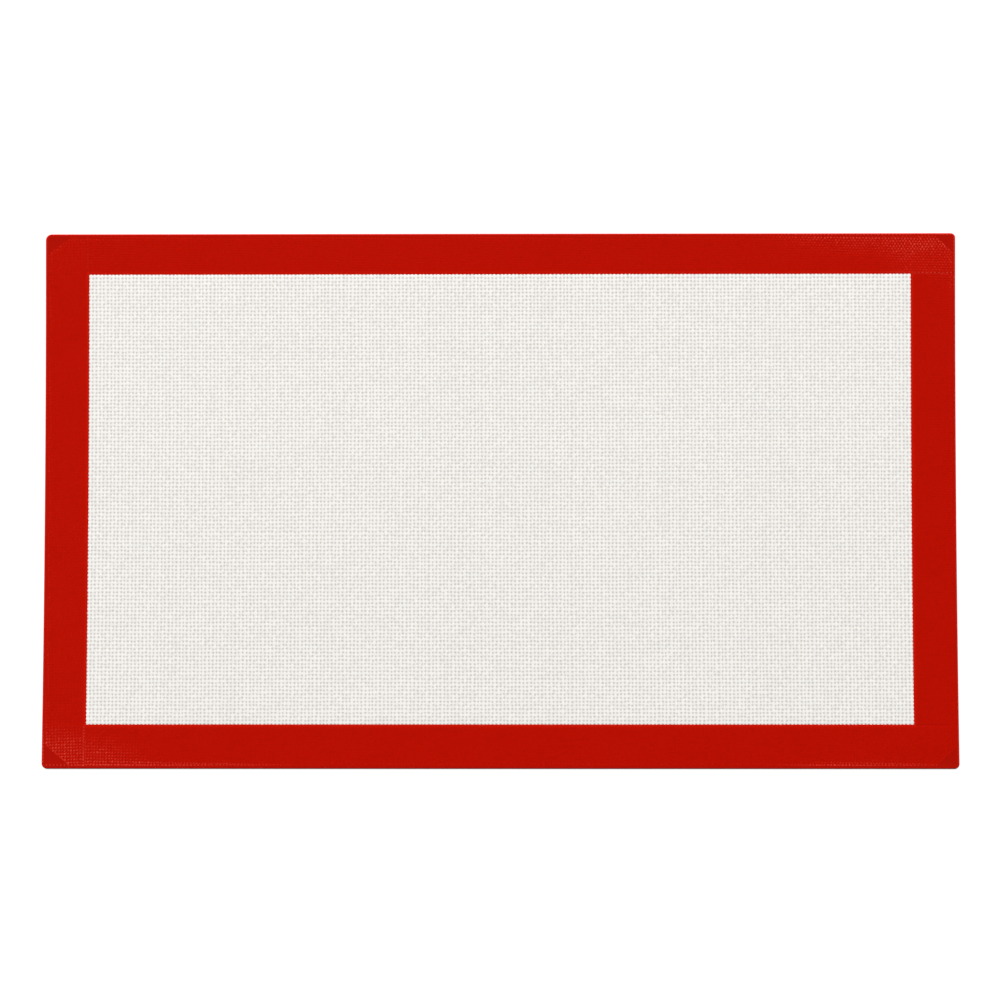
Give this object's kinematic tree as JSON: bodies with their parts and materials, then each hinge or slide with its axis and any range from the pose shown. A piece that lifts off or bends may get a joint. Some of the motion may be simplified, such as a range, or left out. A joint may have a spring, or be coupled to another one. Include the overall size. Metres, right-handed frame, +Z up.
{
  "type": "silicone baking mat",
  "caption": "Thin rectangular baking mat: open woven glass cloth sealed in clear silicone, with a wide red silicone edging half-lapped at the corners, for lining a baking sheet or pan.",
  "frame": {"origin": "centre of the outline, on the surface that the mat lies on", "axes": "+X along the long side to the right, +Y towards the back, +Z up out of the baking face"},
  "size_m": [0.52, 0.305, 0.0009],
  "materials": {
    "glass_cloth": "woven, matt",
    "clear_silicone": "clear over the white cloth, satin",
    "red_silicone": "satin, with the weave showing through as fine relief"
  },
  "bodies": {
    "root": {"glass_cloth": "glass_cloth", "upper_clear_coat": "clear_silicone", "lower_clear_coat": "clear_silicone", "upper_border_left": "red_silicone", "upper_border_right": "red_silicone", "upper_border_back": "red_silicone", "upper_border_front": "red_silicone", "lower_border_left": "red_silicone", "lower_border_right": "red_silicone", "lower_border_back": "red_silicone", "lower_border_front": "red_silicone"}
  },
  "joints": []
}
